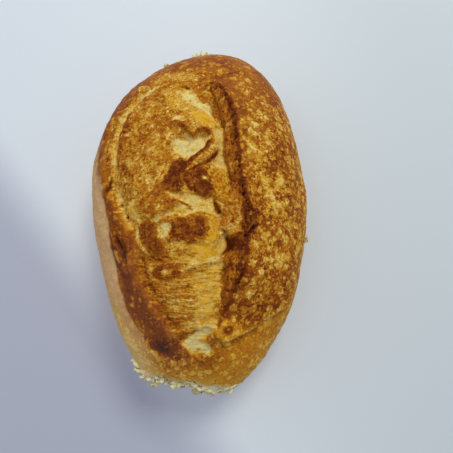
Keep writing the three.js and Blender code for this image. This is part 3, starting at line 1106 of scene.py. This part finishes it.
    def net(self, where: "Wire", size: float) -> "Wire":
        """Marks a fine net whose meshes are about size millimetres wide."""
        cells = self._texture("ShaderNodeTexVoronoi", where, size, {"feature": "DISTANCE_TO_EDGE"})
        return self.band(self.wire(cells, "Distance"), 0.09, 0.02)

    def threads(self, where: "Wire", size: float, twist: float) -> "Wire":
        """Marks thin wandering threads about size millimetres apart."""
        wave = (self.spots(size, detail=2.0, rough=0.5, twist=twist, where=where) - 0.5) * 2.0
        return self.band(wave * wave, 0.007, 0.0008)

    def mixed(self, share: "Wire | float", first: "Wire | Colour", second: "Wire | Colour",
              how: str = "MIX") -> "Wire":
        """Mixes two colours.

        Args:
            share: how much of the second is taken.
            first: the colour where the share is 0.
            second: the other colour.
            how: the way they blend.

        Returns:
            The mixed colour.
        """
        first, second = ((*end, 1.0) if isinstance(end, tuple) else end for end in (first, second))
        settings = {"data_type": "RGBA", "blend_type": how}
        return self.wire(self.node("ShaderNodeMix", settings, {0: share, 6: first, 7: second}), 2)

    def finish(self, inputs: dict) -> bpy.types.Material:
        """Ends the material with one shader.

        Args:
            inputs: values or wires for the shader's sockets.

        Returns:
            The finished material.
        """
        shader = self.node("ShaderNodeBsdfPrincipled", {}, inputs)
        self.node("ShaderNodeOutputMaterial", {}, {"Surface": self.wire(shader)})
        return self.material


class Wire:
    """A shader value that adds its own Math nodes when it is used in an expression."""

    def __init__(self, bench: Bench, socket: bpy.types.NodeSocket) -> None:
        """Wraps an output socket."""
        self.bench = bench
        self.socket = socket

    def _math(self, operation: str, first: "Wire | float", second: "Wire | float") -> "Wire":
        """Adds one Math node."""
        made = self.bench.node("ShaderNodeMath", {"operation": operation}, {0: first, 1: second})
        return self.bench.wire(made)

    def __add__(self, other: "Wire | float") -> "Wire":
        """Adds."""
        return self._math("ADD", self, other)

    def __radd__(self, other: float) -> "Wire":
        """Adds to a number."""
        return self._math("ADD", other, self)

    def __sub__(self, other: "Wire | float") -> "Wire":
        """Subtracts."""
        return self._math("SUBTRACT", self, other)

    def __rsub__(self, other: float) -> "Wire":
        """Subtracts from a number."""
        return self._math("SUBTRACT", other, self)

    def __mul__(self, other: "Wire | float") -> "Wire":
        """Multiplies."""
        return self._math("MULTIPLY", self, other)

    def __rmul__(self, other: float) -> "Wire":
        """Multiplies a number."""
        return self._math("MULTIPLY", other, self)

    def at_least(self, other: "Wire | float") -> "Wire":
        """Takes the larger of the two."""
        return self._math("MAXIMUM", self, other)

    def at_most(self, other: "Wire | float") -> "Wire":
        """Takes the smaller of the two."""
        return self._math("MINIMUM", self, other)


# ---- finishes


@dataclass(frozen=True)
class CrustFinish:
    """Baked crust and torn crumb, from pale cream to char."""

    stops: tuple[tuple[float, Colour], ...] = (
        (0.00, (0.96, 0.88, 0.62)),
        (0.07, (0.87, 0.70, 0.29)),
        (0.18, (0.80, 0.535, 0.12)),
        (0.29, (0.72, 0.38, 0.040)),
        (0.41, (0.57, 0.225, 0.016)),
        (0.53, (0.44, 0.138, 0.008)),
        (0.66, (0.29, 0.065, 0.005)),
        (0.80, (0.16, 0.028, 0.004)),
        (0.92, (0.07, 0.013, 0.003)),
        (1.00, (0.03, 0.008, 0.003)),
    )
    gilded: Colour = (0.81, 0.38, 0.008)
    dusted: Colour = (0.84, 0.53, 0.26)
    ember: Colour = (0.50, 0.15, 0.010)
    patchy_speckle: float = 0.8
    fine_speckle: float = 0.5
    micro_speckle: float = 0.6
    crisp_speckle: float = 0.2
    huge_blister_fade: float = 0.12
    blister_fade: float = 0.19
    net_fade: float = 0.22
    thread_fade: float = 0.28
    strand_streaks: float = 1.5
    shred_streaks: float = 1.2
    strand_turn: float = -12.0
    strand_scale: Spot = (0.2, 1.0, 1.0)
    shred_turn: float = 8.0
    shred_scale: Spot = (1.0, 0.28, 0.6)
    bump_strength: float = 0.6
    bump_height: float = 1.1
    shine: float = 0.06

    def material(self) -> bpy.types.Material:
        """Makes the material.

        Returns:
            The finished material.
        """
        bench = Bench("baked_crust")
        # in the order of Tone
        bake, gild, dust, crumb, fleck, strand, shred = (bench.tone(tone) for tone in Tone)
        place = bench.place()
        bent = bench.bent(place, 1.6, 1.3)
        broad = bench.spots(6.0)
        patchy = bench.spots(2.2, detail=4.0, rough=0.65, twist=0.5)
        fine = bench.spots(0.9, rough=0.6)
        crisp = bench.band(bench.spots(1.2, rough=0.62, twist=0.4), 0.45, 0.55)
        micro = bench.spots(0.55, detail=2.0, rough=0.6)
        huge = bench.blisters(bent, 6.5, fleck * 0.6)
        large = bench.blisters(bent, 3.6, fleck)
        small = bench.blisters(bent, 1.7, fleck)
        net = bench.net(bent, 2.6) * fleck * bench.band(broad, 0.42, 0.6)
        sparse = bench.band(bench.spots(3.2, detail=2.0, rough=0.5, twist=0.3), 0.44, 0.56)
        threads = bench.threads(place, 1.7, 2.2) * crumb * bench.band(bake, 0.62, 0.46) * sparse
        along_strands = bench.stretched(place, self.strand_turn, self.strand_scale)
        strands = (bench.spots(1.2, detail=4.0, rough=0.62, twist=0.7, where=along_strands) - 0.5) * strand
        along_shreds = bench.stretched(place, self.shred_turn, self.shred_scale)
        shreds = (bench.spots(1.1, detail=4.0, rough=0.65, twist=0.7, where=along_shreds) - 0.5) * shred

        roughness = 0.32 + crumb * 0.58 - strand * 0.36
        speckle = (patchy - 0.5) * self.patchy_speckle + (fine - 0.5) * self.fine_speckle
        speckle = speckle + (micro - 0.5) * self.micro_speckle + (crisp - 0.5) * self.crisp_speckle
        heat = bake + (broad - 0.5) * 0.2 + speckle * roughness
        heat = heat + fleck * 0.04 - huge * self.huge_blister_fade - net * self.net_fade
        heat = heat - large * self.blister_fade - small * self.blister_fade - threads * self.thread_fade
        heat = heat + strands * self.strand_streaks + shreds * self.shred_streaks
        heat = heat.at_least(bench.band(bake, 0.0, 0.08) * 0.1).at_most(bake.at_least(0.85))

        colour = bench.wire(bench.node("ShaderNodeValToRGB", {"stops": self.stops}, {"Fac": heat}), "Color")
        glow = gild * bench.band(heat, 0.62, 0.25)
        colour = bench.mixed(glow * (0.78 + (patchy - 0.5) * 1.5), colour, self.gilded)
        reddened = bench.band(bench.spots(3.4, rough=0.6, twist=0.4), 0.48, 0.62)
        ember = reddened * crumb * bench.band(heat, 0.15, 0.4) * 0.4
        ember = ember + shred * bench.band(heat, 0.75, 0.55) * 0.35
        colour = bench.mixed(ember, colour, self.ember)
        colour = bench.mixed(dust * (0.74 + (patchy - 0.5) * 1.3), colour, self.dusted)

        height = patchy * 0.5 + fine * 0.4 + micro * 0.15 + large * 0.16 + small * 0.14
        height = height + threads * 0.15 + strands * 0.8 + shreds * 1.5
        height = height * bench.band(bake, -0.01, 0.05)
        bump = bench.node("ShaderNodeBump", {}, {
            "Height": height, "Strength": self.bump_strength, "Distance": self.bump_height * METRES})
        dullness = 0.5 + crumb * 0.3 + dust * 0.15 + (fine - 0.5) * 0.15
        return bench.finish({"Base Color": colour, "Roughness": dullness, "Normal": bench.wire(bump),
                             "Specular IOR Level": self.shine})


@dataclass(frozen=True)
class PaperFinish:
    """The pale floor with painted shade: it dims towards +X, and a painted shadow darkens it towards -X and
    -Y. Its reaches are in metres, as its shader reads them.
    """

    bright: Colour = (0.79, 0.80, 0.82)
    # painted shade: the floor's dimmer tone towards +X
    painted_dimming: Colour = (0.66, 0.68, 0.68)
    painted_dimming_reach: tuple[float, float] = (-0.02, 0.14)
    # painted shadow, multiplied into the floor beyond a line towards -X and -Y
    painted_shade: Colour = (0.62, 0.605, 0.68)
    painted_shade_way: tuple[float, float] = (-0.76, -0.65)
    painted_shade_reach: tuple[float, float] = (0.054, 0.090)
    rough: float = 0.8

    def material(self) -> bpy.types.Material:
        """Makes the material.

        Returns:
            The finished material.
        """
        bench = Bench("pale_floor")
        place = bench.node("ShaderNodeSeparateXYZ", {}, {"Vector": bench.place()})
        x, y = bench.wire(place, "X"), bench.wire(place, "Y")
        # painted shade: the floor dims towards +X
        colour = bench.mixed(bench.band(x, *self.painted_dimming_reach), self.bright, self.painted_dimming)
        # painted shadow: the floor darkens beyond a line towards -X and -Y
        corner = x * self.painted_shade_way[0] + y * self.painted_shade_way[1]
        colour = bench.mixed(bench.band(corner, *self.painted_shade_reach), colour, self.painted_shade, "MULTIPLY")
        return bench.finish({"Base Color": colour, "Roughness": self.rough})


# ---- sub-assemblies


def finished(form: bmesh.types.BMesh, name: str) -> bpy.types.Mesh:
    """Turns a form into a smoothly shaded mesh and frees it.

    Args:
        form: the form.
        name: what the mesh is called.

    Returns:
        The mesh.
    """
    mesh = bpy.data.meshes.new(name)
    form.to_mesh(mesh)
    form.free()
    mesh.shade_smooth()
    return mesh


def placed(name: str, data: bpy.types.ID) -> bpy.types.Object:
    """Puts a mesh, a lamp or a camera in the scene.

    Args:
        name: what the object is called.
        data: the mesh, lamp or camera.

    Returns:
        The object.
    """
    made = bpy.data.objects.new(name, data)
    bpy.context.scene.collection.objects.link(made)
    return made


@dataclass
class BreadRoll:
    """The whole roll: one closed skin with its torn flakes of crumb."""

    form: RollForm
    slash: Slash = field(default_factory=Slash)
    crust: Crust = field(default_factory=Crust)
    finish: CrustFinish = field(default_factory=CrustFinish)
    cuts: tuple[int, int, int] = (168, 264, 56)
    sole_clearance: float = 0.02
    fringes: tuple[Fringe, ...] = (
        Fringe(((-27.0, -71.0, 31.0), (-14.0, -79.0, 31.0), (2.0, -82.0, 31.0), (17.0, -80.0, 30.0)),
               count=60, length=3.2, thickness=1.5, spread=0.5, seed=4),
        Fringe(((-25.0, -74.5, 30.0), (-16.0, -79.5, 30.0)),
               count=22, length=4.6, thickness=1.8, spread=0.7, seed=5),
        Fringe(((0.0, -83.0, 30.0), (17.0, -81.0, 29.0)),
               count=34, length=5.0, thickness=2.0, spread=0.7, seed=6),
        Fringe(((-4.0, 82.4, 30.0), (6.0, 82.6, 30.0)),
               count=30, length=3.0, thickness=1.0, spread=0.7, seed=7),
        Fringe(((-18.0, 75.6, 32.0), (-17.0, 75.6, 32.0)),
               count=6, length=2.6, thickness=0.8, spread=0.3, seed=8),
        Fringe(((48.3, 28.5, 32.0), (48.8, 26.0, 31.0)),
               count=9, length=2.0, thickness=0.6, spread=0.5, seed=9),
        Fringe(((52.2, -14.5, 30.0), (52.4, -16.5, 29.0)),
               count=9, length=2.0, thickness=0.6, spread=0.5, seed=10),
    )
    map_middle: tuple[float, float] = (0.39, 0.5)
    map_reach: float = 0.485
    sole_middle: tuple[float, float] = (0.9, 0.8)
    sole_reach: float = 0.19
    shelf_corner: tuple[float, float] = (0.79, 0.01)
    shelf_cell: float = 0.0038
    shelf_columns: int = 50
    shelf_facet: Points = ((0.15, 0.15), (0.85, 0.15), (0.15, 0.85))

    def build(self) -> bpy.types.Object:
        """Makes the roll's mesh, its tones and its map.

        Returns:
            The roll, in metres, at its place.
        """
        mesh = self._cube()
        points, fall = self.form.place(self._read(mesh.vertices, "co"))
        self._write(mesh, points)
        skin = Skin(points, self._read(mesh.vertices, "normal"))
        self.crust.bake(skin)
        self.slash.open(skin)
        for patch in PATCHES:
            skin.dab(patch)
        for seam in SEAMS:
            skin.draw(seam)
        for pit in PITS:
            skin.prick(pit)
        self.crust.wrinkle(skin)
        self.crust.tear(skin)
        moved = skin.moved()
        lowest = np.where(points[:, 2] > 0, self.sole_clearance, 0.0)
        moved[:, 2] = np.maximum(moved[:, 2], lowest)
        self._write(mesh, moved * METRES)
        whole, flake_bakes = self._with_fringes(mesh)
        self._tone(whole, skin, flake_bakes)
        self._map(whole, points, fall)
        whole.materials.append(self.finish.material())
        roll = placed("bread_roll_baked", whole)
        LOG.info("%s: %d points, %d faces", roll.name, len(whole.vertices), len(whole.polygons))
        return roll

    def _cube(self) -> bpy.types.Mesh:
        """Makes a finely cut cube whose underside is one face.

        Returns:
            The cube, from -1 to 1.
        """
        form = bmesh.new()
        bmesh.ops.create_cube(form, size=2.0)
        under = [face for face in form.faces if face.normal.z < -0.5]
        bmesh.ops.delete(form, geom=under, context="FACES_ONLY")
        for axis, count in enumerate(self.cuts):
            lines = [edge for edge in form.edges if abs((edge.verts[0].co - edge.verts[1].co)[axis]) > 1.0]
            bmesh.ops.subdivide_edges(form, edges=lines, cuts=count - 1, use_grid_fill=True)
        bmesh.ops.edgeloop_fill(form, edges=[edge for edge in form.edges if edge.is_boundary])
        bmesh.ops.recalc_face_normals(form, faces=form.faces)
        return finished(form, "roll_skin")

    def _with_fringes(self, skin_mesh: bpy.types.Mesh) -> tuple[bpy.types.Mesh, np.ndarray]:
        """Joins the torn flakes to the skin, after the skin's own points.

        Args:
            skin_mesh: the finished skin.

        Returns:
            The joined mesh, and the baking of every flake point.
        """
        flakes = bmesh.new()
        bakes = [np.full(fringe.grow(flakes), fringe.bake) for fringe in self.fringes]
        bmesh.ops.scale(flakes, vec=(METRES, METRES, METRES), verts=flakes.verts)
        bmesh.ops.recalc_face_normals(flakes, faces=flakes.faces)
        whole = bmesh.new()
        whole.from_mesh(skin_mesh)
        whole.from_mesh(finished(flakes, "roll_flakes"))
        return finished(whole, "bread_roll_baked"), np.concatenate(bakes)

    @staticmethod
    def _read(collection: bpy.types.bpy_prop_collection, name: str) -> np.ndarray:
        """Reads a vector of every item.

        Args:
            collection: the items.
            name: the vector's name.

        Returns:
            The vectors, one a row.
        """
        values = np.empty(len(collection) * 3, dtype=np.float32)
        collection.foreach_get(name, values)
        return values.reshape(-1, 3).astype(float)

    @staticmethod
    def _write(mesh: bpy.types.Mesh, points: np.ndarray) -> None:
        """Moves a mesh's points."""
        mesh.vertices.foreach_set("co", points.astype(np.float32).ravel())
        mesh.update()

    @staticmethod
    def _tone(mesh: bpy.types.Mesh, skin: Skin, flake_bakes: np.ndarray) -> None:
        """Writes the tones as attributes. The flakes have their own baking and no other tone.

        Args:
            mesh: the skin with its flakes.
            skin: the skin that carries the tones.
            flake_bakes: the baking of every flake point.
        """
        for tone in Tone:
            flakes = flake_bakes if tone is Tone.BAKE else np.zeros(len(flake_bakes))
            values = np.clip(np.concatenate((skin.tones[tone], flakes)), 0.0, 1.0)
            layer = mesh.attributes.new(tone.value, "FLOAT", "POINT")
            layer.data.foreach_set("value", values.astype(np.float32))

    def _map(self, mesh: bpy.types.Mesh, points: np.ndarray, fall: np.ndarray) -> None:
        """Lays the skin out flat as seen from its crown, with the underside and the flakes beside it.

        Args:
            mesh: the skin with its flakes.
            points: the plain body's points in millimetres.
            fall: how far each of them is down the side's profile.
        """
        half = self.form.length / 2
        turn = np.arctan2(points[:, 1], points[:, 0])
        radius = np.interp(turn, *self.form.edge()) * fall
        ways = np.stack((np.cos(turn), np.sin(turn)), axis=1)
        spread = np.array(self.map_middle) + radius[:, None] * ways / half * self.map_reach
        corners = np.empty(len(mesh.loops), dtype=np.int32)
        mesh.loops.foreach_get("vertex_index", corners)
        places = np.zeros((len(corners), 2))
        on_skin = corners < len(points)
        places[on_skin] = spread[corners[on_skin]]
        under = max(mesh.polygons, key=lambda face: face.loop_total)
        span = slice(under.loop_start, under.loop_start + under.loop_total)
        places[span] = np.array(self.sole_middle) + points[corners[span], :2] / half * self.sole_reach
        flakes = np.flatnonzero(~on_skin)
        facet, corner = np.divmod(np.arange(len(flakes)), 3)
        shelf = np.stack((facet % self.shelf_columns, facet // self.shelf_columns), axis=1)
        inside = np.array(self.shelf_facet)[corner]
        places[flakes] = np.array(self.shelf_corner) + (shelf + inside) * self.shelf_cell
        layer = mesh.uv_layers.new(name="OFBake")
        layer.data.foreach_set("uv", places.astype(np.float32).ravel())


@dataclass
class Studio:
    """The floor, the light and the camera."""

    lens: float = 27.02
    sensor: float = 36.0
    near_clip: float = 5.0
    camera_place: Spot = (13.8, -40.7, 191.0)
    camera_tilt: float = 10.9
    floor_size: float = 3000.0
    paper: PaperFinish = field(default_factory=PaperFinish)
    window_way: Spot = (0.30, 0.58, 0.88)
    window_size: float = 380.0
    window_power: float = 4.75
    window_colour: Colour = (0.93, 1.0, 0.86)
    fill_way: Spot = (-0.60, 0.20, 0.78)
    fill_size: float = 900.0
    fill_power: float = 1.3
    fill_colour: Colour = (0.92, 0.98, 1.0)
    lamp_distance: float = 1000.0
    sky_colour: Colour = (0.375, 0.41, 0.52)

    def build(self) -> None:
        """Makes the stage around the roll."""
        self._floor()
        self._lamp("window", self.window_way, self.window_size, self.window_power, self.window_colour)
        self._lamp("fill", self.fill_way, self.fill_size, self.fill_power, self.fill_colour)
        self._sky()
        self._camera()
        LOG.info("studio: floor, light and camera")

    def _floor(self) -> None:
        """Lays the floor."""
        form = bmesh.new()
        bmesh.ops.create_grid(form, x_segments=1, y_segments=1, size=self.floor_size / 2 * METRES)
        mesh = finished(form, "floor")
        mesh.materials.append(self.paper.material())
        placed("floor", mesh)

    def _lamp(self, name: str, way: Spot, size: float, power: float, colour: Colour) -> None:
        """Hangs one large soft lamp that faces the roll.

        Args:
            name: what the lamp is called.
            way: the direction from the roll to the lamp.
            size: the side of its square face.
            power: its power in watts.
            colour: its colour.
        """
        lamp = bpy.data.lights.new(name, "AREA")
        lamp.size = size * METRES
        lamp.energy = power
        lamp.color = colour
        light = placed(name, lamp)
        aim = Vector(way).normalized()
        light.location = aim * self.lamp_distance * METRES
        light.rotation_euler = aim.to_track_quat("Z", "Y").to_euler()

    def _sky(self) -> None:
        """Fills the room with soft cool light."""
        world = bpy.data.worlds.new("room")
        bpy.context.scene.world = world
        world.use_nodes = True
        background = world.node_tree.nodes["Background"]
        background.inputs["Color"].default_value = (*self.sky_colour, 1.0)
        background.inputs["Strength"].default_value = 1.0
        bpy.context.scene.view_settings.view_transform = "Standard"

    def _camera(self) -> None:
        """Sets the camera above the roll, looking down."""
        eye = bpy.data.cameras.new("camera")
        eye.lens = self.lens
        eye.sensor_width = self.sensor
        eye.clip_start = self.near_clip * METRES
        camera = placed("camera", eye)
        camera.location = Vector(self.camera_place) * METRES
        camera.rotation_euler = (math.radians(self.camera_tilt), 0.0, 0.0)
        bpy.context.scene.camera = camera


def main() -> None:
    """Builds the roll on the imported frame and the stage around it."""
    logging.basicConfig(level=logging.INFO, format="%(message)s")
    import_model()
    low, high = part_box(ROLL_NODE)
    width, length, height = ((high[axis] - low[axis]) / METRES for axis in range(3))
    roll = BreadRoll(RollForm(width=width, length=length, height=height - LUMP_ALLOWANCE)).build()
    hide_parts(ROLL_NODE)
    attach(roll, BODY)
    Studio().build()


if __name__ == "__main__":
    main()
